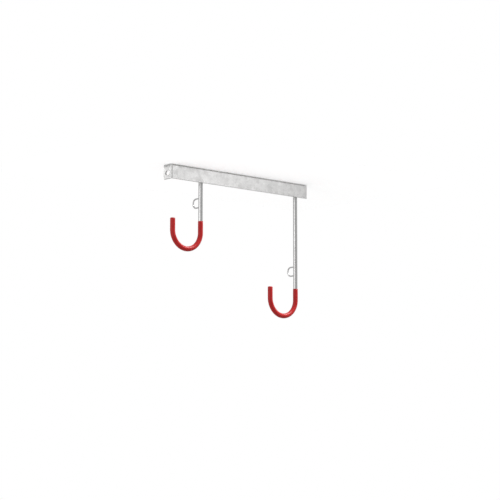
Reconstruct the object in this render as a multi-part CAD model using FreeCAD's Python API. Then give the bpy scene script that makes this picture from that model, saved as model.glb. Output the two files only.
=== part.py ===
"""Ceiling rack with a short and a long J hook, each with a padlock eyelet, welded into a steel angle.

Millimetres. The origin is the centre of the row of ceiling screw holes, on the face that meets the ceiling.
+X runs along the rail from the end plate to the plain end, +Y from the front flange to the back, +Z is up.
"""

import FreeCAD, Part
import math
import os

# Rail: a folded angle with one flange flat on the ceiling and one hanging down in front.
RAIL_LENGTH = 500.0
FRONT_FLANGE_HEIGHT = 40.0
TOP_FLANGE_DEPTH = 34.0
PLATE_THICKNESS = 4.0
FOLD_INSIDE_RADIUS = 1.5
EDGE_ROUNDING = 0.6

# Ceiling screws: clearance holes for 8 mm coach screws, in one line behind the rods.
SCREW_LINE_SETBACK = 22.0
SCREW_HOLE_COUNT = 3
SCREW_HOLE_SPACING = 180.0
SCREW_HOLE_RADIUS = 4.25

# End plate: closes one end of the angle and has one slot with round ends, its long way level.
# The slot's centre is set back from the front face and down from the ceiling.
SLOT_LENGTH = 18.0
SLOT_WIDTH = 12.0
SLOT_SETBACK = 17.5
SLOT_DROP = 23.5
PLATE_CORNER_RADIUS = 1.5

# Hooks: round bar bent to a J that lies parallel to the rail, its tip towards the end plate.
# The bend radius is to the bar's centre line. A drop runs from the ceiling to the lowest point of the coat.
BAR_RADIUS = 6.0
BEND_RADIUS = 48.5
SHORT_SHANK_SETBACK = 110.0
SHANK_SPACING = 353.0
SHORT_HOOK_DROP = 232.0
LONG_HOOK_DROP = 391.0
BAR_END_CHAMFER = 1.5

# Red plastic coat on the lower end of each hook, closed over the tip. Both rises start at the bend's centre.
COAT_THICKNESS = 1.0
TIP_RISE = 31.5
SHANK_COAT_RISE = 31.5
TIP_ROUNDING = 1.6
COAT_SHOULDER_ROUNDING = 0.4

# Padlock eyelets: a wire U with both arms welded to the back of a shank. The reach is from the bar's
# centre line to the far side of the wire; the height is from the coat's upper edge to the middle of the U.
EYELET_WIRE_RADIUS = 2.0
EYELET_BEND_RADIUS = 12.6
EYELET_REACH = 33.5
EYELET_ABOVE_COAT = 51.0

# Weld beads. The side bead's angles are measured round the rod from the line where it touches the flange.
# The eyelet bead's lip is the width of the flat ring it leaves round the wire.
TOP_BEAD_LEG = 4.5
TOP_BEAD_SWEEP = 220.0
SIDE_BEAD_INNER_ANGLE = 25.0
SIDE_BEAD_OUTER_ANGLE = 65.0
SIDE_BEAD_REACH = 6.6
SIDE_BEAD_CROWN = 0.3
SIDE_BEAD_END_GAP = 0.8
EYELET_BEAD_RADIUS = 3.8
EYELET_BEAD_LENGTH = 2.4
EYELET_BEAD_LIP = 0.4

# Places that follow from the sizes above.
LEFT_X = -RAIL_LENGTH / 2
RIGHT_X = RAIL_LENGTH / 2
FRONT_Y = -SCREW_LINE_SETBACK
BACK_Y = FRONT_Y + TOP_FLANGE_DEPTH
FLANGE_BACK_Y = FRONT_Y + PLATE_THICKNESS
BAR_Y = FLANGE_BACK_Y + BAR_RADIUS
FLANGE_UNDERSIDE_Z = -PLATE_THICKNESS
RAIL_BOTTOM_Z = -FRONT_FLANGE_HEIGHT
COAT_RADIUS = BAR_RADIUS + COAT_THICKNESS

HOOKS = {
    "short": {"shank_x": LEFT_X + SHORT_SHANK_SETBACK, "drop": SHORT_HOOK_DROP},
    "long": {"shank_x": LEFT_X + SHORT_SHANK_SETBACK + SHANK_SPACING, "drop": LONG_HOOK_DROP},
}

ALONG_X = FreeCAD.Vector(1, 0, 0)
ALONG_Y = FreeCAD.Vector(0, 1, 0)
ALONG_Z = FreeCAD.Vector(0, 0, 1)
TOLERANCE = 0.01


def point(x, y, z):
    return FreeCAD.Vector(x, y, z)


def bend_centre_z(hook):
    """Height of the centre of a hook's half-round bend."""
    return -hook["drop"] + COAT_RADIUS + BEND_RADIUS


def tip_x(hook):
    return hook["shank_x"] - 2 * BEND_RADIUS


def coat_top_z(hook):
    """Height of the coat's upper edge on the shank."""
    return bend_centre_z(hook) + SHANK_COAT_RISE


def eyelet_z(hook):
    return coat_top_z(hook) + EYELET_ABOVE_COAT


def edges_where(shape, wanted):
    """The edges of a shape whose two end points both pass a test."""
    return [edge for edge in shape.Edges if all(wanted(vertex.Point) for vertex in edge.Vertexes)]


def near(a, b):
    return abs(a - b) < TOLERANCE


def angle_outline(start_x, end_x):
    """The block that the angle's rounded outside fits in, between two places along the rail."""
    block = Part.makeBox(
        end_x - start_x, TOP_FLANGE_DEPTH, FRONT_FLANGE_HEIGHT, point(start_x, FRONT_Y, RAIL_BOTTOM_Z)
    )
    outside = edges_where(block, lambda p: near(p.y, FRONT_Y) and near(p.z, 0))
    return block.makeFillet(FOLD_INSIDE_RADIUS + PLATE_THICKNESS, outside)


def rail_angle():
    """Angle of two flanges with a rounded fold, cut away for the ceiling screws."""
    start_x = LEFT_X + PLATE_THICKNESS
    length = RIGHT_X - start_x
    hollow_depth = TOP_FLANGE_DEPTH - PLATE_THICKNESS
    hollow_height = FRONT_FLANGE_HEIGHT - PLATE_THICKNESS
    hollow = Part.makeBox(
        length, hollow_depth, hollow_height, point(start_x, FLANGE_BACK_Y, RAIL_BOTTOM_Z)
    )
    inside = edges_where(hollow, lambda p: near(p.y, FLANGE_BACK_Y) and near(p.z, FLANGE_UNDERSIDE_Z))
    angle = angle_outline(start_x, RIGHT_X).cut(hollow.makeFillet(FOLD_INSIDE_RADIUS, inside))
    toes = edges_where(angle, lambda p: near(p.y, BACK_Y))
    toes += edges_where(angle, lambda p: near(p.z, RAIL_BOTTOM_Z))
    long_toes = [edge for edge in toes if edge.Length > TOP_FLANGE_DEPTH]
    angle = angle.makeFillet(EDGE_ROUNDING, long_toes)
    first_hole_x = -SCREW_HOLE_SPACING * (SCREW_HOLE_COUNT - 1) / 2
    for index in range(SCREW_HOLE_COUNT):
        hole_x = first_hole_x + index * SCREW_HOLE_SPACING
        hole = Part.makeCylinder(SCREW_HOLE_RADIUS, PLATE_THICKNESS, point(hole_x, 0, FLANGE_UNDERSIDE_Z))
        angle = angle.cut(hole)
    return angle


def plate_slot():
    """The solid that the end plate's slot takes away."""
    end_radius = SLOT_WIDTH / 2
    first_y = FRONT_Y + SLOT_SETBACK - SLOT_LENGTH / 2 + end_radius
    last_y = FRONT_Y + SLOT_SETBACK + SLOT_LENGTH / 2 - end_radius
    middle = Part.makeBox(
        PLATE_THICKNESS, last_y - first_y, SLOT_WIDTH, point(LEFT_X, first_y, -SLOT_DROP - end_radius)
    )
    for end_y in (first_y, last_y):
        end = Part.makeCylinder(end_radius, PLATE_THICKNESS, point(LEFT_X, end_y, -SLOT_DROP), ALONG_X)
        middle = middle.fuse(end)
    return middle.removeSplitter()


def end_plate():
    """Flat plate across the end of the angle, behind the front flange's outer corner."""
    depth = BACK_Y - FLANGE_BACK_Y
    plate = Part.makeBox(
        PLATE_THICKNESS, depth, FRONT_FLANGE_HEIGHT, point(LEFT_X, FLANGE_BACK_Y, RAIL_BOTTOM_Z)
    )
    back_corners = [
        edge
        for edge in edges_where(plate, lambda p: near(p.y, BACK_Y))
        if near(edge.Length, PLATE_THICKNESS)
    ]
    plate = plate.makeFillet(PLATE_CORNER_RADIUS, back_corners)
    outer_rim = [
        edge
        for edge in edges_where(plate, lambda p: near(p.x, LEFT_X))
        if edge.CenterOfMass.y > FLANGE_BACK_Y + TOLERANCE
    ]
    plate = plate.makeFillet(EDGE_ROUNDING, outer_rim)
    return plate.cut(plate_slot()).common(angle_outline(LEFT_X, LEFT_X + PLATE_THICKNESS))


def end_plate_weld():
    """Quarter-round bead in the corner between the end plate and the front flange, up over the fold."""
    corner_x = LEFT_X + PLATE_THICKNESS
    cylinder = Part.makeCylinder(
        PLATE_THICKNESS, FRONT_FLANGE_HEIGHT, point(corner_x, FLANGE_BACK_Y, RAIL_BOTTOM_Z), ALONG_Z
    )
    groove = Part.makeBox(
        PLATE_THICKNESS, PLATE_THICKNESS, FRONT_FLANGE_HEIGHT, point(LEFT_X, FRONT_Y, RAIL_BOTTOM_Z)
    )
    return cylinder.common(groove).common(angle_outline(LEFT_X, corner_x))


def swept_bar(edges, radius):
    """Round bar along a path of joined edges, the first of which starts the path."""
    path = Part.Wire(edges)
    start = edges[0].valueAt(edges[0].FirstParameter)
    direction = edges[0].tangentAt(edges[0].FirstParameter)
    section = Part.Wire(Part.makeCircle(radius, start, direction))
    return path.makePipeShell([section], True, False)


def hook_path(hook, top_z, tip_z):
    """Shank down, half-round bend towards the end plate, straight tip up."""
    shank_x = hook["shank_x"]
    centre_z = bend_centre_z(hook)
    shank = Part.LineSegment(point(shank_x, BAR_Y, top_z), point(shank_x, BAR_Y, centre_z))
    bend = Part.Arc(
        point(shank_x, BAR_Y, centre_z),
        point(shank_x - BEND_RADIUS, BAR_Y, centre_z - BEND_RADIUS),
        point(tip_x(hook), BAR_Y, centre_z),
    )
    tip = Part.LineSegment(point(tip_x(hook), BAR_Y, centre_z), point(tip_x(hook), BAR_Y, tip_z))
    return [shank.toShape(), bend.toShape(), tip.toShape()]


def end_edges(bar, x, z):
    """The circular edges round the end of an upright stretch of bar."""
    return edges_where(bar, lambda p: near(p.z, z) and abs(p.x - x) < BEND_RADIUS)


def hook_rod(hook):
    """Bare bar of the whole hook, chamfered where it meets the top flange."""
    tip_z = bend_centre_z(hook) + TIP_RISE - COAT_THICKNESS
    rod = swept_bar(hook_path(hook, FLANGE_UNDERSIDE_Z, tip_z), BAR_RADIUS)
    top = end_edges(rod, hook["shank_x"], FLANGE_UNDERSIDE_Z)
    return rod.makeChamfer(BAR_END_CHAMFER, top)


def hook_coat(hook):
    """Plastic coat on the bend and tip, open on the shank and closed over the tip."""
    tip_z = bend_centre_z(hook) + TIP_RISE
    coat = swept_bar(hook_path(hook, coat_top_z(hook), tip_z), COAT_RADIUS)
    coat = coat.makeFillet(TIP_ROUNDING, end_edges(coat, tip_x(hook), tip_z))
    shoulder = end_edges(coat, hook["shank_x"], coat_top_z(hook))
    coat = coat.makeFillet(COAT_SHOULDER_ROUNDING, shoulder)
    return coat.cut(hook_rod(hook))


def shank_at(hook):
    """The bare shank as a plain cylinder, for fitting what is welded to it."""
    length = FLANGE_UNDERSIDE_Z - coat_top_z(hook)
    return Part.makeCylinder(BAR_RADIUS, length, point(hook["shank_x"], BAR_Y, coat_top_z(hook)))


def eyelet_wire(hook):
    """U of wire that starts and ends on the shank's centre line."""
    x = hook["shank_x"]
    arm_end_y = BAR_Y + EYELET_REACH - EYELET_WIRE_RADIUS - EYELET_BEND_RADIUS
    high_z = eyelet_z(hook) + EYELET_BEND_RADIUS
    low_z = eyelet_z(hook) - EYELET_BEND_RADIUS
    upper_arm = Part.LineSegment(point(x, BAR_Y, high_z), point(x, arm_end_y, high_z))
    bend = Part.Arc(
        point(x, arm_end_y, high_z),
        point(x, arm_end_y + EYELET_BEND_RADIUS, eyelet_z(hook)),
        point(x, arm_end_y, low_z),
    )
    lower_arm = Part.LineSegment(point(x, arm_end_y, low_z), point(x, BAR_Y, low_z))
    return swept_bar([upper_arm.toShape(), bend.toShape(), lower_arm.toShape()], EYELET_WIRE_RADIUS)


def eyelet(hook):
    """Wire U with its two feet cut to the curve of the shank."""
    return eyelet_wire(hook).cut(shank_at(hook))


def eyelet_weld(hook):
    """A cone of weld round each foot of the eyelet, its wide end sunk to where the round shank falls away."""
    base = math.sqrt(BAR_RADIUS**2 - EYELET_BEAD_RADIUS**2)
    length = BAR_RADIUS + EYELET_BEAD_LENGTH - base
    beads = []
    for side in (1, -1):
        foot = point(hook["shank_x"], BAR_Y + base, eyelet_z(hook) + side * EYELET_BEND_RADIUS)
        bead = Part.makeCone(EYELET_BEAD_RADIUS, EYELET_WIRE_RADIUS + EYELET_BEAD_LIP, length, foot, ALONG_Y)
        beads.append(bead.cut(shank_at(hook)).cut(eyelet_wire(hook)))
    return Part.makeCompound(beads)


def ring_bead(x):
    """Bead round the back of a rod's upper end, between its chamfer and the top flange."""
    top_z = FLANGE_UNDERSIDE_Z
    corners = [
        point(x + BAR_RADIUS, BAR_Y, top_z - TOP_BEAD_LEG),
        point(x + BAR_RADIUS, BAR_Y, top_z - BAR_END_CHAMFER),
        point(x + BAR_RADIUS - BAR_END_CHAMFER, BAR_Y, top_z),
        point(x + BAR_RADIUS + TOP_BEAD_LEG, BAR_Y, top_z),
    ]
    section = Part.Face(Part.makePolygon(corners + corners[:1]))
    axis_point = point(x, BAR_Y, 0)
    section.rotate(axis_point, ALONG_Z, 90 - TOP_BEAD_SWEEP / 2)
    return section.revolve(axis_point, ALONG_Z, TOP_BEAD_SWEEP)


def side_bead(x, side):
    """Upright bead in the wedge between a rod and the back of the front flange, on one side of the rod."""

    def on_rod(degrees):
        angle = math.radians(degrees)
        return point(x + side * BAR_RADIUS * math.sin(angle), BAR_Y - BAR_RADIUS * math.cos(angle), base_z)

    base_z = RAIL_BOTTOM_Z + SIDE_BEAD_END_GAP
    inner = on_rod(SIDE_BEAD_INNER_ANGLE)
    outer = on_rod(SIDE_BEAD_OUTER_ANGLE)
    middle = on_rod((SIDE_BEAD_INNER_ANGLE + SIDE_BEAD_OUTER_ANGLE) / 2)
    inner_foot = point(inner.x, FLANGE_BACK_Y, base_z)
    outer_foot = point(x + side * SIDE_BEAD_REACH, FLANGE_BACK_Y, base_z)
    crown = (outer + outer_foot) / 2 + point(side * SIDE_BEAD_CROWN, SIDE_BEAD_CROWN, 0)
    outline = Part.Wire(
        [
            Part.makeLine(inner_foot, outer_foot),
            Part.Arc(outer_foot, crown, outer).toShape(),
            Part.Arc(outer, middle, inner).toShape(),
            Part.makeLine(inner, inner_foot),
        ]
    )
    height = FLANGE_UNDERSIDE_Z - TOP_BEAD_LEG - base_z
    return Part.Face(outline).extrude(point(0, 0, height))


def rod_weld(hook):
    """The three beads that hold a rod's upper end in the angle."""
    x = hook["shank_x"]
    return Part.makeCompound([ring_bead(x), side_bead(x, 1), side_bead(x, -1)])


def export(node, shape):
    """Writes one node after checking that it is made of valid closed solids."""
    for solid in shape.Solids:
        if not solid.isValid() or not solid.isClosed():
            raise ValueError(f"{node} is not a valid closed solid")
    body = shape.Solids[0] if len(shape.Solids) == 1 else Part.makeCompound(shape.Solids)
    body.exportStep(os.path.join("parts", node + ".step"))
    print(f"{node}: {len(shape.Solids)} solid(s), {body.Volume:.0f} mm3")


def main():
    os.makedirs("parts", exist_ok=True)
    export("rail_angle", rail_angle())
    export("end_plate", end_plate())
    export("end_plate_weld", end_plate_weld())
    for name, hook in HOOKS.items():
        export(f"{name}_hook_rod", hook_rod(hook))
        export(f"{name}_hook_coat", hook_coat(hook))
        export(f"{name}_hook_weld", rod_weld(hook))
        export(f"{name}_eyelet", eyelet(hook))
        export(f"{name}_eyelet_weld", eyelet_weld(hook))


main()
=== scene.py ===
"""Looks for the ceiling rack with a short and a long J hook: beads, coats, materials, studio and camera.

Metres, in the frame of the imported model: +X along the rail, +Y from the front flange to the back, +Z up.
"""

import math

import bmesh
import bpy
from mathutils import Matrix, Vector, noise


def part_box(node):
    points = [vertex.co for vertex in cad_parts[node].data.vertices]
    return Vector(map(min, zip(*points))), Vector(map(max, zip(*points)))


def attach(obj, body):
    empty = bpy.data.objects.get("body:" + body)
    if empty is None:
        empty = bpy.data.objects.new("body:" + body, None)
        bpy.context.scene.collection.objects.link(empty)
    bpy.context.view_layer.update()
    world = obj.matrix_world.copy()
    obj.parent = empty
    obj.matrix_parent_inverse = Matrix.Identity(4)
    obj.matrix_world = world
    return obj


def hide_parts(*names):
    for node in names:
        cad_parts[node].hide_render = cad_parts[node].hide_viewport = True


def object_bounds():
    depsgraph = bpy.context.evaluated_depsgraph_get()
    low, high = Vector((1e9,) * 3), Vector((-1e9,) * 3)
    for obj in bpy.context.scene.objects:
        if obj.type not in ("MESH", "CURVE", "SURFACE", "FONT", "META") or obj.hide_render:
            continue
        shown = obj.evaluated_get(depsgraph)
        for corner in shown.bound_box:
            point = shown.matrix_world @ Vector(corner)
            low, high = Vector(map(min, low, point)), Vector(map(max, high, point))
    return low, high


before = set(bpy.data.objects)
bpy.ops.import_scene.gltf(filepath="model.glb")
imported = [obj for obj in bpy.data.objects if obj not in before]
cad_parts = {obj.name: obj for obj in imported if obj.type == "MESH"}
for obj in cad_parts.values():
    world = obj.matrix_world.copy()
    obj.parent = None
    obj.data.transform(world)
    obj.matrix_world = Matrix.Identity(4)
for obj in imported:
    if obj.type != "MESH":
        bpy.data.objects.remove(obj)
cad_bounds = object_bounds()

MM = 0.001
UP = Vector((0, 0, 1))
BODY = "root"
HOOKS = ("short", "long")
WHOLE = (0.0, 1.0)

# Plastic coats: a rolled lip on the shank, a rounded tip and a wall that is a little uneven from dipping.
COAT_SEGMENTS = 64
COAT_STEP = 1.6 * MM
COAT_INSIDE_STEP = 2 * COAT_STEP
COAT_LIP_LENGTH = 2.4 * MM
COAT_LIP_ROUNDING = 0.55 * MM
COAT_TIP_ROUNDING = 2.2 * MM
COAT_UNEVENNESS = 0.10 * MM
COAT_UNEVEN_SIZE = 9 * MM

# The neck under the lip is deepest one lip length down, and runs out over this many more lip lengths.
COAT_NECK_DEPTH = 0.16 * MM
COAT_NECK_RUN_OUT = 2

# Rings of the coat's mesh in the lip's rounding, in each lip length and in the tip's rounding.
LIP_ROUNDING_RINGS = 6
LIP_LENGTH_RINGS = 8
TIP_ROUNDING_RINGS = 10

# Weld beads: ripples a fixed distance apart, each a little different from the next, and larger lumps.
BEAD_STEP = 0.25 * MM
BEAD_SEGMENTS = 14
BEAD_LUMP = 0.18 * MM
BEAD_LUMP_SIZE = 4 * MM
RIPPLE_PITCH = 1.5 * MM
RIPPLE_DEPTH = 0.24 * MM
RIPPLE_WANDER = 0.25
RIPPLE_WANDER_RATE = 0.9

# A rod's bead keeps this share of its section at its very end, so that no face there shrinks to nothing.
BEAD_END_SHARE = 0.15

# Corner bead: its ripples bow, and it thins out where the rail's fold turns away at the top.
CORNER_RIPPLE_BOW = 0.9 * MM
CORNER_LEAST_DEPTH = 0.05 * MM
CORNER_RIPPLE_SEED = 0.0
CORNER_LUMP_SEED = 3.0
FOLD_OUTSIDE_RADIUS = 5.5 * MM

# Ring bead: a hollow fillet round the back of a rod's upper end. Its root lies inside the rod. Degrees.
RING_BEAD_LEG = 4.5 * MM
RING_BEAD_ROOT = 1.5 * MM
RING_BEAD_HOLLOW = 0.22
RING_BEAD_MIDDLE = 90.0
RING_BEAD_SWEEP = 220.0
RING_BEAD_BLUNTNESS = 8

# Side beads: their angles are measured round the rod from the line where it touches the flange. Degrees.
SIDE_BEAD_INNER = 25.0
SIDE_BEAD_OUTER = 65.0
SIDE_BEAD_REACH = 6.6 * MM
SIDE_BEAD_END_REACH = 0.5
SIDE_BEAD_CROWN = 0.45 * MM
SIDE_BEAD_END = 2.5 * MM

# Collars of weld round the eyelets' feet.
COLLAR_ROWS = 10
COLLAR_SEGMENTS = 40
COLLAR_FLARE = 1.6
COLLAR_LUMP = 0.25 * MM
COLLAR_RIPPLES = 7
COLLAR_SEED_RATE = 50

# Zinc on plate. A mottle is a sum of patterns, and its range here is spread over all of its greys.
# In all materials a noise scale is in lumps per metre, and a metallic value is the same all over.
SHEET_CRYSTAL = 11 * MM
SHEET_FINE_CRYSTAL = 4 * MM
SHEET_FINE_TURN_SHARE = 0.15
SHEET_WANDER = {"scale": 90.0, "reach": 9 * MM}
SHEET_RAGGEDNESS = {"scale": 700.0, "reach": 2.2 * MM}
SHEET_TURN_AXIS = (0.58, 0.58, 0.58)
SHEET_FEATHER_SCALES = (1100.0, 160.0, 160.0)
SHEET_MOTTLE = (0.42, 0.98)
SHEET_GREYS = (0.50, 0.735)
SHEET_WARMTH = 0.006
SHEET_ROUGHNESS = (0.50, 0.37)
SHEET_METALLIC = 0.9

# Edges of the plate: a painted highlight makes the colour paler along sharp outer edges, and the roughness
# is a little lower there. How far it reaches, and how strong it is.
EDGE_RADIUS = 1.2 * MM
EDGE_SAMPLES = 6
EDGE_COSINES = (0.995, 0.85)
EDGE_HIGHLIGHT_GREY = 0.78
EDGE_HIGHLIGHT_WARMTH = 0.004
EDGE_PAINTED_HIGHLIGHT = 0.35
EDGE_POLISH = 0.08

# Zinc on bar.
BAR_LINE_SCALES = (700.0, 700.0, 6.0)
BAR_CRYSTAL = 3.5 * MM
BAR_RAGGEDNESS = {"scale": 700.0, "reach": 2 * MM}
BAR_MOTTLE = (0.34, 0.66)
BAR_GREYS = (0.56, 0.74)
BAR_WARMTH = 0.004
BAR_ROUGHNESS = (0.27, 0.19)
BAR_METALLIC = 0.95

# Zinc on weld metal.
BEAD_CONTRAST = (0.3, 0.7)
BEAD_DARK = {"level": 0.60, "warmth": 0.01}
BEAD_PALE = {"level": 0.76, "warmth": 0.006}
BEAD_ROUGHNESS = (0.36, 0.58)
BEAD_METALLIC = 0.85

# Red plastic. The colours are linear red, green, blue and alpha.
RED_FRESH = (0.435, 0.019, 0.019, 1)
RED_FADED = (0.490, 0.024, 0.024, 1)
RED_SCUFFED = (0.60, 0.16, 0.16, 1)
RED_FADING = (0.35, 0.65)
RED_ROUGHNESS = (0.27, 0.34)
RED_SCUFF_SCALES = (60.0, 900.0, 160.0)
RED_SCUFF_ONSET = (0.60, 0.72)
RED_SCUFF_SHARE = 0.12
RED_IOR = 1.45
RED_SPECULAR = 0.22

# Camera: it looks from this side at an aim point a little off the middle of the object. Degrees, metres and,
# for the lens and the sensor, millimetres.
CAMERA_AZIMUTH = -41.57
CAMERA_ELEVATION = -7.80
CAMERA_DISTANCE = 4.449
CAMERA_LENS = 115.47
CAMERA_SENSOR = 36.0
CAMERA_AIM_OFFSET = Vector((0.0245, -0.0293, -0.0152))
CAMERA_CLIP_START = 0.05
CAMERA_CLIP_END = 60.0

# Floor and ceiling patch: neither lights the object, so a white above 1 only makes them look brightly lit.
FLOOR_DROP = 2.2
FLOOR_SIZE = 90.0
FLOOR_WHITE = 1.3
FLOOR_CLOUD_LIFT = 1.06
FLOOR_CLOUD_SCALE = 1.5
CEILING_WHITE = 1.94
CEILING_MARGIN = 0.32
CEILING_GAP = 0.2 * MM

# Ceiling lips: strips that the camera doesn't see, which keep light off the rail's upper edge.
LIP_WIDTH = 9 * MM
END_LIP_WIDTH = 16 * MM
LIP_RISE = 0.6 * MM
LIP_GREY = 1.35
LIP_ROUGHNESS = 0.9

# Surround: darker in front of the object, in degrees, and in the lower half, by the height of the direction.
DARK_AZIMUTH = 5.0
DARK_HALF_WIDTH = 52.0
DARK_SOFTNESS = 12.0
DARK_LEVEL = 0.48
SURROUND_LEVEL = 0.66
LOW_SHARE = 0.86
LOW_SOFTNESS = 0.25

# Lamps: degrees, metres and watts.
LAMPS = {
    "overhead": dict(azimuth=55.0, elevation=50.0, distance=2.4, width=1.8, height=1.2, power=85.0),
    "right_fill": dict(azimuth=62.0, elevation=12.0, distance=2.2, width=1.5, height=1.5, power=10.0),
    "left_strip": dict(azimuth=-80.0, elevation=6.0, distance=2.2, width=1.3, height=2.4, power=13.0),
    "front_panel": dict(azimuth=40.0, elevation=6.0, distance=1.0, width=0.7, height=0.7, power=1.9),
    "end_panel": dict(azimuth=-138.0, elevation=24.0, distance=1.6, width=1.0, height=0.7, power=5.2),
}


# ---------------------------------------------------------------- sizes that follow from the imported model


def tip_height(name):
    """Height of the top of a coat's tip: its highest point on the far side from the shank."""
    low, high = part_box(f"{name}_hook_coat")
    middle_x = (low.x + high.x) / 2
    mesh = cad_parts[f"{name}_hook_coat"].data
    return max(vertex.co.z for vertex in mesh.vertices if vertex.co.x < middle_x)


def hook_sizes(name):
    """The driving sizes of one hook, read from its packed rod, coat and eyelet."""
    rod_low, rod_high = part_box(f"{name}_hook_rod")
    coat_low, coat_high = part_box(f"{name}_hook_coat")
    coat_radius = (coat_high.y - coat_low.y) / 2
    rod_radius = coat_radius - (rod_low.z - coat_low.z)
    bend_radius = (coat_high.x - coat_low.x) / 2 - coat_radius
    eyelet_low, eyelet_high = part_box(f"{name}_eyelet")
    wire_radius = (eyelet_high.x - eyelet_low.x) / 2
    return {
        "name": name,
        "shank_x": coat_high.x - coat_radius,
        "bar_y": (coat_high.y + coat_low.y) / 2,
        "coat_radius": coat_radius,
        "rod_radius": rod_radius,
        "bend_radius": bend_radius,
        "bend_z": coat_low.z + coat_radius + bend_radius,
        "coat_top_z": coat_high.z,
        "rod_top_z": rod_high.z,
        "tip_top_z": tip_height(name),
        "wire_radius": wire_radius,
        "wire_feet_z": (eyelet_high.z - wire_radius, eyelet_low.z + wire_radius),
    }


# ---------------------------------------------------------------- mesh helpers


def smooth_step(t):
    t = min(1.0, max(0.0, t))
    return t * t * (3 - 2 * t)


def lump(point, size, seed):
    """Smooth noise from about 0 to 1 at a place, with lumps of the given size."""
    return 0.5 + 0.5 * noise.noise(point / size + Vector((seed, 0, 0)))


def finish_piece(name, mesh_builder, material, slot, *nodes):
    """Turns a bmesh into a smooth closed piece that stands for some CAD nodes."""
    bmesh.ops.recalc_face_normals(mesh_builder, faces=mesh_builder.faces)
    mesh = bpy.data.meshes.new(name)
    mesh_builder.to_mesh(mesh)
    mesh_builder.free()
    for polygon in mesh.polygons:
        polygon.use_smooth = True
    mesh.materials.append(material)
    piece = bpy.data.objects.new(name, mesh)
    bpy.context.scene.collection.objects.link(piece)
    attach(piece, BODY)
    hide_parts(*nodes)
    return piece


def skin(mesh_builder, rings, closed_rows=False):
    """Faces between rings of equally many points. Each ring is closed, and the row of rings is if asked."""
    rows = [[mesh_builder.verts.new(point) for point in ring] for ring in rings]
    pairs = list(zip(rows, rows[1:]))
    if closed_rows:
        pairs.append((rows[-1], rows[0]))
    for lower, upper in pairs:
        for index in range(len(lower)):
            following = (index + 1) % len(lower)
            mesh_builder.faces.new((lower[index], lower[following], upper[following], upper[index]))
    return rows


def cap(mesh_builder, row):
    mesh_builder.faces.new(row)


# ---------------------------------------------------------------- plastic coats


def coat_path(hook):
    """Length of the coat's centre line, and a function from a distance along it to a place and direction."""
    shank = hook["coat_top_z"] - hook["bend_z"]
    bend = math.pi * hook["bend_radius"]
    tip = hook["tip_top_z"] - hook["bend_z"]
    centre_x = hook["shank_x"] - hook["bend_radius"]

    def at(distance):
        if distance < shank:
            place = Vector((hook["shank_x"], hook["bar_y"], hook["coat_top_z"] - distance))
            return place, Vector((0, 0, -1))
        if distance < shank + bend:
            angle = (distance - shank) / hook["bend_radius"]
            place = Vector(
                (
                    centre_x + hook["bend_radius"] * math.cos(angle),
                    hook["bar_y"],
                    hook["bend_z"] - hook["bend_radius"] * math.sin(angle),
                )
            )
            return place, Vector((-math.sin(angle), 0, -math.cos(angle)))
        rise = distance - shank - bend
        place = Vector((centre_x - hook["bend_radius"], hook["bar_y"], hook["bend_z"] + rise))
        return place, Vector((0, 0, 1))

    return shank + bend + tip, at


def rounded_shrink(distance_from_end, rounding):
    """How much a rounded end draws a surface in, at a distance from that end."""
    inward = max(0.0, rounding - distance_from_end)
    return rounding - math.sqrt(max(0.0, rounding**2 - inward**2))


def coat_radius_at(hook, distance, length):
    """Radius of the coat along its path: rolled lip, shallow neck below it, full wall, rounded tip."""
    lips = distance / COAT_LIP_LENGTH
    neck = smooth_step(lips) * (1 - smooth_step((lips - 1) / COAT_NECK_RUN_OUT))
    radius = hook["coat_radius"] - COAT_NECK_DEPTH * neck
    radius -= rounded_shrink(distance, COAT_LIP_ROUNDING)
    radius -= rounded_shrink(length - distance, COAT_TIP_ROUNDING)
    return radius


def end_steps(rounding, count):
    """Distances from an end, close together where the end is rounded."""
    return [rounding * (1 - math.cos(math.pi / 2 * index / count)) for index in range(count)]


def coat_stations(length):
    """Distances along the coat where it gets a ring."""
    start = end_steps(COAT_LIP_ROUNDING, LIP_ROUNDING_RINGS)
    lip_count = LIP_LENGTH_RINGS * (1 + COAT_NECK_RUN_OUT)
    lip = [COAT_LIP_ROUNDING + COAT_LIP_LENGTH * index / LIP_LENGTH_RINGS for index in range(lip_count)]
    end = [length - step for step in reversed(end_steps(COAT_TIP_ROUNDING, TIP_ROUNDING_RINGS))]
    middle_start = lip[-1] + COAT_STEP
    middle_length = length - COAT_TIP_ROUNDING - middle_start
    count = round(middle_length / COAT_STEP)
    middle = [middle_start + middle_length * index / count for index in range(count)]
    return start + lip + middle + end


def ring_at(at, distance, radius, segments, unevenness=0.0, seed=0.0):
    """Points round the path, drawn in by up to the unevenness."""
    place, direction = at(distance)
    across = Vector((0, 1, 0))
    outward = direction.cross(across)
    points = []
    for index in range(segments):
        angle = 2 * math.pi * index / segments
        spoke = across * math.cos(angle) + outward * math.sin(angle)
        point = place + spoke * radius
        dent = unevenness * lump(point, COAT_UNEVEN_SIZE, seed)
        points.append(point - spoke * dent)
    return points


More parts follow.
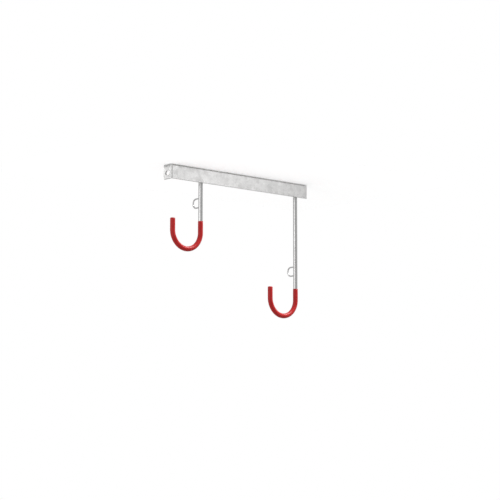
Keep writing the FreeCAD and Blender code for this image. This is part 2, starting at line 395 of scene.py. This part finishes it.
def hook_coat(name, hook, material, seed):
    """Closed shell of the plastic coat: outside from lip to tip, and back along the bar inside."""
    length, at = coat_path(hook)
    builder = bmesh.new()
    outside = []
    for distance in coat_stations(length):
        radius = coat_radius_at(hook, distance, length)
        fade = smooth_step(distance / COAT_LIP_LENGTH)
        outside.append(ring_at(at, distance, radius, COAT_SEGMENTS, COAT_UNEVENNESS * fade, seed))
    rows = skin(builder, outside)
    cap(builder, rows[-1])
    inside = [ring_at(at, 0.0, hook["rod_radius"], COAT_SEGMENTS)]
    wall = hook["coat_radius"] - hook["rod_radius"]
    inner_length = length - wall
    count = round(inner_length / COAT_INSIDE_STEP)
    for index in range(1, count + 1):
        inside.append(ring_at(at, inner_length * index / count, hook["rod_radius"], COAT_SEGMENTS))
    inner_rows = skin(builder, inside)
    cap(builder, inner_rows[-1])
    outer = rows[0]
    inner = inner_rows[0]
    for index in range(COAT_SEGMENTS):
        following = (index + 1) % COAT_SEGMENTS
        builder.faces.new((outer[index], outer[following], inner[following], inner[index]))
    return finish_piece(f"{name}_coat_skin", builder, material, "red_coat", f"{name}_hook_coat")


# ---------------------------------------------------------------- weld beads


def ripple(distance, seed):
    """Height of a bead's ripple from 0 to 1: round crowns with sharp valleys between them."""
    wander = RIPPLE_WANDER * math.sin(distance / RIPPLE_PITCH * RIPPLE_WANDER_RATE + seed)
    return abs(math.sin(math.pi * (distance / RIPPLE_PITCH + wander)))


def corner_bead(material):
    """Bead in the outside corner between end plate and front flange, following the fold at its top."""
    low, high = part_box("end_plate_weld")
    inner = Vector((high.x, high.y, 0))
    width = high.x - low.x
    fold_radius = FOLD_OUTSIDE_RADIUS
    fold_y = low.y + fold_radius
    builder = bmesh.new()
    rings = []
    count = round((high.z - low.z) / BEAD_STEP)
    for row in range(count + 1):
        z = low.z + (high.z - low.z) * row / count
        into_fold = max(0.0, z + fold_radius)
        front_y = fold_y - math.sqrt(fold_radius**2 - into_fold**2)
        depth = max(CORNER_LEAST_DEPTH, inner.y - front_y)
        ring = [Vector((inner.x, inner.y, z))]
        for index in range(BEAD_SEGMENTS + 1):
            angle = math.pi / 2 * index / BEAD_SEGMENTS
            x = inner.x - width * math.cos(angle)
            y = inner.y - depth * math.sin(angle)
            bowed_z = z + CORNER_RIPPLE_BOW * math.sin(2 * angle)
            sag = RIPPLE_DEPTH * (1 - ripple(bowed_z, CORNER_RIPPLE_SEED))
            sag += BEAD_LUMP * lump(Vector((x, y, z)), BEAD_LUMP_SIZE, CORNER_LUMP_SEED)
            sag *= math.sin(2 * angle)
            ring.append(Vector((x + sag * math.cos(angle), y + sag * math.sin(angle), z)))
        rings.append(ring)
    rows = skin(builder, rings)
    cap(builder, rows[0])
    cap(builder, rows[-1])
    return finish_piece("corner_bead", builder, material, "weld_bead", "end_plate_weld")


def bead_sag(point, distance, seed):
    """How far a bead's surface lies under its full height at one place."""
    sag = RIPPLE_DEPTH * (1 - ripple(distance, seed))
    return sag + BEAD_LUMP * lump(point, BEAD_LUMP_SIZE, seed)


def ring_bead(builder, hook, seed):
    """Rippled bead round the back of the rod's upper end, under the top flange."""
    leg = RING_BEAD_LEG
    axis = Vector((hook["shank_x"], hook["bar_y"], hook["rod_top_z"]))
    count = round(math.radians(RING_BEAD_SWEEP) * (hook["rod_radius"] + leg) / BEAD_STEP)
    rings = []
    for step in range(count + 1):
        turn = math.radians(RING_BEAD_MIDDLE + RING_BEAD_SWEEP * (step / count - 0.5))
        spoke = Vector((math.cos(turn), math.sin(turn), 0))
        from_middle = 2 * step / count - 1
        taper = max(BEAD_END_SHARE, math.sqrt(max(0.0, 1 - from_middle**RING_BEAD_BLUNTNESS)))
        distance = math.radians(RING_BEAD_SWEEP) * hook["rod_radius"] * step / count
        ring = [axis + spoke * (hook["rod_radius"] - RING_BEAD_ROOT)]
        for index in range(BEAD_SEGMENTS + 1):
            angle = math.pi / 2 * index / BEAD_SEGMENTS
            reach = leg * taper * (1 - RING_BEAD_HOLLOW * math.sin(2 * angle))
            along_flange = spoke * (hook["rod_radius"] + reach * math.cos(angle))
            point = axis + along_flange - UP * reach * math.sin(angle)
            sag = bead_sag(point, distance, seed) * math.sin(2 * angle) * taper
            ring.append(point - (spoke * math.cos(angle) - UP * math.sin(angle)) * sag)
        rings.append(ring)
    rows = skin(builder, rings)
    cap(builder, rows[0])
    cap(builder, rows[-1])


def side_bead(builder, hook, side, seed):
    """Rippled upright bead in the wedge between the rod and the back of the front flange."""
    weld_low, weld_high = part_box(f"{hook['name']}_hook_weld")
    flange_y = weld_low.y
    top_z = weld_high.z - RING_BEAD_LEG
    bottom_z = weld_low.z
    outward = Vector((side, 1, 0)).normalized()
    inner = math.radians(SIDE_BEAD_INNER)
    count = round((top_z - bottom_z) / BEAD_STEP)
    rings = []
    for step in range(count + 1):
        z = bottom_z + (top_z - bottom_z) * step / count
        end_rounding = math.sqrt(max(0.0, 1 - max(0.0, 1 - (z - bottom_z) / SIDE_BEAD_END) ** 2))
        end_rounding = max(BEAD_END_SHARE, end_rounding)
        angle = math.radians(SIDE_BEAD_INNER + (SIDE_BEAD_OUTER - SIDE_BEAD_INNER) * end_rounding)
        on_rod = Vector((side * math.sin(angle), -math.cos(angle), 0)) * hook["rod_radius"]
        on_rod += Vector((hook["shank_x"], hook["bar_y"], z))
        foot_x = SIDE_BEAD_REACH * (SIDE_BEAD_END_REACH + (1 - SIDE_BEAD_END_REACH) * end_rounding)
        on_flange = Vector((hook["shank_x"] + side * foot_x, flange_y, z))
        ring = []
        for index in range(BEAD_SEGMENTS + 1):
            share = index / BEAD_SEGMENTS
            point = on_rod.lerp(on_flange, share)
            bulge = SIDE_BEAD_CROWN * math.sin(math.pi * share) * end_rounding
            sag = bead_sag(point, z - bottom_z, seed + side) * math.sin(math.pi * share) * end_rounding
            ring.append(point + outward * (bulge - sag))
        root_x = hook["shank_x"] + side * hook["rod_radius"] * math.sin(inner)
        ring.append(Vector((root_x, flange_y, z)))
        ring.append(Vector((root_x, hook["bar_y"] - hook["rod_radius"] * math.cos(inner), z)))
        rings.append(ring)
    rows = skin(builder, rings)
    cap(builder, rows[0])
    cap(builder, rows[-1])


def hook_beads(hook, material, seed):
    """The three beads that hold a rod in the angle."""
    builder = bmesh.new()
    ring_bead(builder, hook, seed)
    side_bead(builder, hook, 1, seed)
    side_bead(builder, hook, -1, seed)
    name = hook["name"]
    return finish_piece(f"{name}_rod_beads", builder, material, "weld_bead", f"{name}_hook_weld")


def eyelet_bead(builder, hook, foot_z, seed):
    """Lumpy collar of weld round one foot of the eyelet, sitting on the curve of the shank.

    Near the collar's thin rim the lumps dip inside the wire, out of sight.
    """
    weld_low, weld_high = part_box(f"{hook['name']}_eyelet_weld")
    top_y = weld_high.y
    base_radius = (weld_high.x - weld_low.x) / 2
    rings = []
    for row in range(COLLAR_ROWS + 1):
        share = row / COLLAR_ROWS
        flare = (1 - share) ** COLLAR_FLARE
        reach = hook["wire_radius"] + (base_radius - hook["wire_radius"]) * flare
        ring = []
        for index in range(COLLAR_SEGMENTS):
            angle = 2 * math.pi * index / COLLAR_SEGMENTS
            x = reach * math.cos(angle)
            z = reach * math.sin(angle)
            foot_y = hook["bar_y"] + math.sqrt(hook["rod_radius"] ** 2 - x**2)
            y = foot_y + (top_y - foot_y) * share
            point = Vector((hook["shank_x"] + x, y, foot_z + z))
            lumps = COLLAR_LUMP * abs(math.sin(COLLAR_RIPPLES * angle / 2 + seed))
            lumps += bead_sag(point, y, seed)
            spoke = Vector((math.cos(angle), 0, math.sin(angle)))
            ring.append(point - spoke * lumps * math.sin(math.pi * share))
        rings.append(ring)
    for share in (0.5, 0.0):
        ring = []
        for index in range(COLLAR_SEGMENTS):
            angle = 2 * math.pi * index / COLLAR_SEGMENTS
            x = hook["wire_radius"] * math.cos(angle)
            foot_y = hook["bar_y"] + math.sqrt(hook["rod_radius"] ** 2 - x**2)
            y = foot_y + (top_y - foot_y) * share
            ring.append(Vector((hook["shank_x"] + x, y, foot_z + hook["wire_radius"] * math.sin(angle))))
        rings.append(ring)
    skin(builder, rings, closed_rows=True)


def eyelet_beads(hook, material, seed):
    """The weld collars at both feet of an eyelet."""
    builder = bmesh.new()
    for foot_z in hook["wire_feet_z"]:
        eyelet_bead(builder, hook, foot_z, seed + foot_z * COLLAR_SEED_RATE)
    name = hook["name"]
    return finish_piece(f"{name}_eyelet_beads", builder, material, "weld_bead", f"{name}_eyelet_weld")


# ---------------------------------------------------------------- material helpers


class Nodes:
    """A short way to write a node tree."""

    def __init__(self, tree):
        self.tree = tree
        tree.nodes.clear()

    def add(self, kind, inputs=None, **settings):
        node = self.tree.nodes.new(kind)
        for key, value in settings.items():
            setattr(node, key, value)
        for key, value in (inputs or {}).items():
            self.feed(node.inputs[key], value)
        return node

    def feed(self, socket, value):
        if isinstance(value, bpy.types.NodeSocket):
            self.tree.links.new(value, socket)
        else:
            socket.default_value = value

    def math(self, operation, first, second=0.0):
        return self.add("ShaderNodeMath", {0: first, 1: second}, operation=operation).outputs[0]

    def span(self, value, source, target, smooth=False):
        """A value mapped from one range to another, and held at its ends."""
        inputs = {"Value": value, "From Min": source[0], "From Max": source[1]}
        inputs.update({"To Min": target[0], "To Max": target[1]})
        kind = "SMOOTHSTEP" if smooth else "LINEAR"
        return self.add("ShaderNodeMapRange", inputs, interpolation_type=kind).outputs["Result"]

    def weighted_sum(self, *terms):
        """Sum of values, each times its share."""
        parts = [self.math("MULTIPLY", value, share) for value, share in terms]
        total = parts[0]
        for part in parts[1:]:
            total = self.math("ADD", total, part)
        return total

    def mix(self, factor, first, second):
        """Colour between two colours."""
        node = self.add("ShaderNodeMix", data_type="RGBA")
        self.feed(node.inputs["Factor"], factor)
        self.feed(node.inputs["A"], first)
        self.feed(node.inputs["B"], second)
        return node.outputs["Result"]

    def noise(self, place, scale, detail, roughness):
        inputs = {"Vector": place, "Scale": scale, "Detail": detail, "Roughness": roughness}
        return self.add("ShaderNodeTexNoise", inputs).outputs["Fac"]

    def stretch(self, place, scales):
        return self.add("ShaderNodeMapping", {"Vector": place, "Scale": scales}).outputs[0]

    def bump(self, height, strength, depth):
        inputs = {"Height": height, "Strength": strength, "Distance": depth}
        return self.add("ShaderNodeBump", inputs).outputs[0]

    def object_place(self):
        return self.add("ShaderNodeTexCoord").outputs["Object"]


def grey(level, warmth=0.0):
    return (level * (1 + warmth), level, level * (1 - warmth), 1.0)


def new_material(name):
    material = bpy.data.materials.new(name)
    material.use_nodes = True
    return material, Nodes(material.node_tree)


def close_material(nodes, colour, roughness, normal, metallic, **constants):
    """Ends a tree in one Principled shader."""
    inputs = {"Base Color": colour, "Roughness": roughness, "Metallic": metallic}
    if normal is not None:
        inputs["Normal"] = normal
    inputs.update({key.replace("_", " "): value for key, value in constants.items()})
    shader = nodes.add("ShaderNodeBsdfPrincipled", inputs)
    nodes.add("ShaderNodeOutputMaterial", {"Surface": shader.outputs[0]})


def edge_mask(nodes):
    """1 on sharp outer edges and 0 on open faces."""
    bevel = nodes.add("ShaderNodeBevel", {"Radius": EDGE_RADIUS}, samples=EDGE_SAMPLES)
    geometry = nodes.add("ShaderNodeNewGeometry")
    product = nodes.add(
        "ShaderNodeVectorMath",
        {0: bevel.outputs[0], 1: geometry.outputs["Normal"]},
        operation="DOT_PRODUCT",
    )
    return nodes.span(product.outputs["Value"], EDGE_COSINES, WHOLE)


def shifted_place(nodes, place, scale, reach):
    """The place moved by up to half the reach each way, so that a pattern there gets a wandering outline."""
    drift = nodes.add("ShaderNodeTexNoise", {"Vector": place, "Scale": scale, "Detail": 2.0})
    shift = nodes.add(
        "ShaderNodeVectorMath",
        {0: drift.outputs["Color"], 1: (0.5, 0.5, 0.5)},
        operation="SUBTRACT",
    )
    return nodes.add(
        "ShaderNodeVectorMath",
        {0: shift.outputs[0], 1: (reach, reach, reach), 2: place},
        operation="MULTIPLY_ADD",
    ).outputs[0]


def crystal_tones(nodes, place, size):
    """Two random values that are the same all over each crystal of about the given size."""
    crystals = nodes.add("ShaderNodeTexVoronoi", {"Vector": place, "Scale": 1 / size})
    parts = nodes.add("ShaderNodeSeparateColor", {"Color": crystals.outputs["Color"]})
    return parts.outputs[0], parts.outputs[1]


# ---------------------------------------------------------------- materials


def galvanised_sheet():
    """Hot-dip zinc on plate: crystals about a centimetre wide, each with its own tone and feathery grain."""
    material, nodes = new_material("galvanised_sheet_look")
    place = nodes.object_place()
    wandering = shifted_place(nodes, place, **SHEET_WANDER)
    ragged = shifted_place(nodes, wandering, **SHEET_RAGGEDNESS)
    large_tone, large_turn = crystal_tones(nodes, ragged, SHEET_CRYSTAL)
    fine_tone, fine_turn = crystal_tones(nodes, ragged, SHEET_FINE_CRYSTAL)
    fine_share = nodes.math("MULTIPLY", fine_turn, SHEET_FINE_TURN_SHARE)
    turn = nodes.math("MULTIPLY", nodes.math("ADD", large_turn, fine_share), math.pi)
    turned = nodes.add(
        "ShaderNodeVectorRotate",
        {"Vector": place, "Axis": SHEET_TURN_AXIS, "Angle": turn},
        rotation_type="AXIS_ANGLE",
    ).outputs[0]
    stretched = nodes.stretch(turned, SHEET_FEATHER_SCALES)
    feather = nodes.noise(stretched, scale=1.0, detail=4.0, roughness=0.65)
    cloud = nodes.noise(place, scale=28.0, detail=3.0, roughness=0.55)
    grain = nodes.noise(place, scale=1600.0, detail=2.0, roughness=0.5)
    mottle = nodes.weighted_sum(
        (large_tone, 0.20),
        (fine_tone, 0.12),
        (feather, 0.50),
        (cloud, 0.40),
        (grain, 0.16),
    )
    level = nodes.span(mottle, SHEET_MOTTLE, WHOLE)
    dark, pale = SHEET_GREYS
    colour = nodes.mix(level, grey(dark, SHEET_WARMTH), grey(pale, SHEET_WARMTH))
    edge = edge_mask(nodes)
    # Painted highlight: the colour is made paler along the sharp outer edges.
    painted_highlight = nodes.math("MULTIPLY", edge, EDGE_PAINTED_HIGHLIGHT)
    colour = nodes.mix(painted_highlight, colour, grey(EDGE_HIGHLIGHT_GREY, EDGE_HIGHLIGHT_WARMTH))
    dull = nodes.span(mottle, SHEET_MOTTLE, SHEET_ROUGHNESS)
    roughness = nodes.math("SUBTRACT", dull, nodes.math("MULTIPLY", edge, EDGE_POLISH))
    height = nodes.weighted_sum((mottle, 0.6), (grain, 0.4))
    bump = nodes.bump(height, strength=0.22, depth=0.08 * MM)
    close_material(nodes, colour, roughness, bump, SHEET_METALLIC)
    return material


def galvanised_bar():
    """Satin zinc on round bar: fine upright lines along the shanks, soft clouds and small crystals."""
    material, nodes = new_material("galvanised_bar_look")
    place = nodes.object_place()
    lines = nodes.noise(nodes.stretch(place, BAR_LINE_SCALES), scale=1.0, detail=3.0, roughness=0.6)
    cloud = nodes.noise(place, scale=60.0, detail=3.0, roughness=0.55)
    ragged = shifted_place(nodes, place, **BAR_RAGGEDNESS)
    tone = crystal_tones(nodes, ragged, BAR_CRYSTAL)[0]
    grain = nodes.noise(place, scale=2200.0, detail=2.0, roughness=0.5)
    mottle = nodes.weighted_sum((lines, 0.32), (cloud, 0.40), (tone, 0.14), (grain, 0.14))
    dark, pale = BAR_GREYS
    colour = nodes.mix(nodes.span(mottle, BAR_MOTTLE, WHOLE), grey(dark, BAR_WARMTH), grey(pale, BAR_WARMTH))
    roughness = nodes.span(mottle, BAR_MOTTLE, BAR_ROUGHNESS)
    bump = nodes.bump(mottle, strength=0.12, depth=0.04 * MM)
    close_material(nodes, colour, roughness, bump, BAR_METALLIC)
    return material


def weld_bead():
    """Zinc on weld metal: a little paler than the plate, with soft clouds and a fine uneven grain."""
    material, nodes = new_material("weld_bead_look")
    place = nodes.object_place()
    cloud = nodes.noise(place, scale=260.0, detail=4.0, roughness=0.6)
    grain = nodes.noise(place, scale=1800.0, detail=3.0, roughness=0.6)
    colour = nodes.mix(nodes.span(cloud, BEAD_CONTRAST, WHOLE), grey(**BEAD_DARK), grey(**BEAD_PALE))
    roughness = nodes.span(grain, BEAD_CONTRAST, BEAD_ROUGHNESS)
    bump = nodes.bump(grain, strength=0.35, depth=0.12 * MM)
    close_material(nodes, colour, roughness, bump, BEAD_METALLIC)
    return material


def red_coat():
    """Semi-gloss red plastic: faint orange peel, light scuffs and slightly faded patches."""
    material, nodes = new_material("red_coat_look")
    place = nodes.object_place()
    fade = nodes.noise(place, scale=45.0, detail=3.0, roughness=0.5)
    peel = nodes.noise(place, scale=650.0, detail=1.0, roughness=0.4)
    scratches = nodes.noise(nodes.stretch(place, RED_SCUFF_SCALES), scale=1.0, detail=4.0, roughness=0.65)
    scuff = nodes.math("MULTIPLY", nodes.span(scratches, RED_SCUFF_ONSET, WHOLE), RED_SCUFF_SHARE)
    colour = nodes.mix(nodes.span(fade, RED_FADING, WHOLE), RED_FRESH, RED_FADED)
    colour = nodes.mix(scuff, colour, RED_SCUFFED)
    roughness = nodes.math("ADD", nodes.span(fade, RED_FADING, RED_ROUGHNESS), scuff)
    bump = nodes.bump(peel, strength=0.10, depth=0.04 * MM)
    close_material(nodes, colour, roughness, bump, 0.0, IOR=RED_IOR, Specular_IOR_Level=RED_SPECULAR)
    return material


# ---------------------------------------------------------------- studio


def direction_to(azimuth, elevation):
    """Unit vector from the object. Azimuth 0 is in front of the rail, and 90 is past its plain end."""
    a = math.radians(azimuth)
    e = math.radians(elevation)
    return Vector((math.sin(a) * math.cos(e), -math.cos(a) * math.cos(e), math.sin(e)))


def studio_world():
    """White for the camera. For the object, a soft surround that is darker in front and a little below."""
    world = bpy.data.worlds.new("studio")
    world.use_nodes = True
    bpy.context.scene.world = world
    nodes = Nodes(world.node_tree)
    direction = nodes.add("ShaderNodeTexCoord").outputs["Generated"]
    parts = nodes.add("ShaderNodeSeparateXYZ", {"Vector": direction})
    azimuth = nodes.math("ARCTAN2", parts.outputs["X"], nodes.math("MULTIPLY", parts.outputs["Y"], -1.0))
    from_dark = nodes.math("ABSOLUTE", nodes.math("SUBTRACT", azimuth, math.radians(DARK_AZIMUTH)))
    inner = math.radians(DARK_HALF_WIDTH - DARK_SOFTNESS)
    outer = math.radians(DARK_HALF_WIDTH + DARK_SOFTNESS)
    level = nodes.span(from_dark, (inner, outer), (DARK_LEVEL, SURROUND_LEVEL), smooth=True)
    heights = (-LOW_SOFTNESS, LOW_SOFTNESS)
    low_share = nodes.span(parts.outputs["Z"], heights, (LOW_SHARE, 1.0), smooth=True)
    level = nodes.math("MULTIPLY", level, low_share)
    surround = nodes.add("ShaderNodeBackground", {"Color": grey(1.0), "Strength": level})
    white = nodes.add("ShaderNodeBackground", {"Color": grey(1.0), "Strength": 1.0})
    to_camera = nodes.add("ShaderNodeLightPath").outputs["Is Camera Ray"]
    both = nodes.add("ShaderNodeMixShader", {0: to_camera, 1: surround.outputs[0], 2: white.outputs[0]})
    nodes.add("ShaderNodeOutputWorld", {"Surface": both.outputs[0]})


def softbox(name, target, azimuth, elevation, distance, width, height, power):
    """Rectangular lamp that faces a target."""
    lamp = bpy.data.lights.new(name, "AREA")
    lamp.shape = "RECTANGLE"
    lamp.size = width
    lamp.size_y = height
    lamp.energy = power
    holder = bpy.data.objects.new(name, lamp)
    bpy.context.scene.collection.objects.link(holder)
    back = direction_to(azimuth, elevation)
    holder.location = target + back * distance
    holder.rotation_mode = "QUATERNION"
    holder.rotation_quaternion = back.to_track_quat("Z", "Y")
    holder.visible_camera = False
    return holder


def light_only(lamp, *lit):
    """Makes a lamp light nothing but the given pieces."""
    group = bpy.data.collections.new(f"{lamp.name}_lights")
    for piece in lit:
        group.objects.link(piece)
    lamp.light_linking.receiver_collection = group


def studio_lamps(middle, left_end, sheet_pieces, hook_pieces):
    """A lamp above for the hooks, lamps past both ends, and two panels for the sheet steel and its bead."""
    overhead = softbox("overhead", middle, **LAMPS["overhead"])
    light_only(overhead, *hook_pieces)
    right_fill = softbox("right_fill", middle, **LAMPS["right_fill"])
    right_fill.visible_glossy = False
    softbox("left_strip", middle, **LAMPS["left_strip"])
    for name in ("front_panel", "end_panel"):
        light_only(softbox(name, left_end, **LAMPS[name]), *sheet_pieces)


def stage_sheet(name, points, material):
    """One four-cornered face that isn't part of the object."""
    mesh = bpy.data.meshes.new(name)
    mesh.from_pydata(points, [], [(0, 1, 2, 3)])
    mesh.materials.append(material)
    piece = bpy.data.objects.new(name, mesh)
    bpy.context.scene.collection.objects.link(piece)
    return piece


def studio_floor(low_z):
    """Pale floor far below the object, which only the camera sees."""
    material, nodes = new_material("floor_look")
    cloud = nodes.noise(nodes.object_place(), scale=FLOOR_CLOUD_SCALE, detail=3.0, roughness=0.5)
    colour = nodes.mix(cloud, grey(FLOOR_WHITE), grey(FLOOR_WHITE * FLOOR_CLOUD_LIFT))
    white = nodes.add("ShaderNodeBsdfDiffuse", {"Color": colour})
    nodes.add("ShaderNodeOutputMaterial", {"Surface": white.outputs[0]})
    half = FLOOR_SIZE / 2
    z = low_z - FLOOR_DROP
    points = [(-half, -half, z), (half, -half, z), (half, half, z), (-half, half, z)]
    floor = stage_sheet("floor", points, material)
    floor.visible_diffuse = False
    floor.visible_glossy = False


def ceiling_material():
    """Matt white from below, and nothing at all from above."""
    material, nodes = new_material("ceiling_look")
    white = nodes.add("ShaderNodeBsdfDiffuse", {"Color": grey(CEILING_WHITE)})
    clear = nodes.add("ShaderNodeBsdfTransparent")
    behind = nodes.add("ShaderNodeNewGeometry").outputs["Backfacing"]
    both = nodes.add("ShaderNodeMixShader", {0: behind, 1: white.outputs[0], 2: clear.outputs[0]})
    nodes.add("ShaderNodeOutputMaterial", {"Surface": both.outputs[0]})
    return material


def ceiling_sheet(name, low_x, low_y, high_x, high_y, z, material):
    """Level rectangle that faces down."""
    points = [(low_x, low_y, z), (low_x, high_y, z), (high_x, high_y, z), (high_x, low_y, z)]
    return stage_sheet(name, points, material)


def ceiling_patch(low, high):
    """What the rack hangs from, which takes its soft shadow. It neither lights nor shades the object."""
    patch = ceiling_sheet(
        "ceiling",
        low.x - CEILING_MARGIN,
        low.y - CEILING_MARGIN,
        high.x + CEILING_MARGIN,
        high.y + CEILING_MARGIN,
        high.z + CEILING_GAP,
        ceiling_material(),
    )
    patch.visible_diffuse = False
    patch.visible_glossy = False
    patch.visible_transmission = False
    patch.visible_shadow = False


def ceiling_lips(low, high):
    """Strips along the front and the left end that shade the rail's upper edge."""
    material, nodes = new_material("ceiling_lip_look")
    close_material(nodes, grey(LIP_GREY), LIP_ROUGHNESS, None, 0.0)
    z = high.z + LIP_RISE
    fold_y = low.y + FOLD_OUTSIDE_RADIUS
    front = ceiling_sheet(
        "ceiling_lip_front",
        low.x - LIP_WIDTH,
        low.y - LIP_WIDTH,
        high.x + LIP_WIDTH,
        fold_y,
        z,
        material,
    )
    end = ceiling_sheet("ceiling_lip_end", low.x - END_LIP_WIDTH, fold_y, low.x, high.y, z, material)
    for lip in (front, end):
        lip.visible_camera = False


def photo_camera(middle):
    camera = bpy.data.objects.new("camera", bpy.data.cameras.new("camera"))
    bpy.context.scene.collection.objects.link(camera)
    camera.data.lens = CAMERA_LENS
    camera.data.sensor_width = CAMERA_SENSOR
    camera.data.clip_start = CAMERA_CLIP_START
    camera.data.clip_end = CAMERA_CLIP_END
    back = direction_to(CAMERA_AZIMUTH, CAMERA_ELEVATION)
    camera.location = middle + CAMERA_AIM_OFFSET + back * CAMERA_DISTANCE
    camera.rotation_mode = "QUATERNION"
    camera.rotation_quaternion = back.to_track_quat("Z", "Y")
    bpy.context.scene.camera = camera


# ---------------------------------------------------------------- making it


def give_look(node, material):
    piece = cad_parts[node]
    piece.data.materials.clear()
    piece.data.materials.append(material)
    return piece


def main():
    sheet_look = galvanised_sheet()
    bar_look = galvanised_bar()
    bead_look = weld_bead()
    red_look = red_coat()
    sheet_pieces = [corner_bead(bead_look)]
    hook_pieces = []
    for node in ("rail_angle", "end_plate"):
        sheet_pieces.append(give_look(node, sheet_look))
    for seed, name in enumerate(HOOKS):
        hook = hook_sizes(name)
        hook_pieces += [
            give_look(f"{name}_hook_rod", bar_look),
            give_look(f"{name}_eyelet", bar_look),
            hook_coat(name, hook, red_look, seed),
            hook_beads(hook, bead_look, seed),
            eyelet_beads(hook, bead_look, seed),
        ]
    low, high = cad_bounds
    middle = (low + high) / 2
    bpy.context.scene.view_settings.view_transform = "Standard"
    studio_world()
    left_end = Vector((low.x, low.y, high.z))
    studio_lamps(middle, left_end, sheet_pieces, hook_pieces)
    studio_floor(low.z)
    ceiling_patch(low, high)
    ceiling_lips(low, high)
    photo_camera(middle)


main()
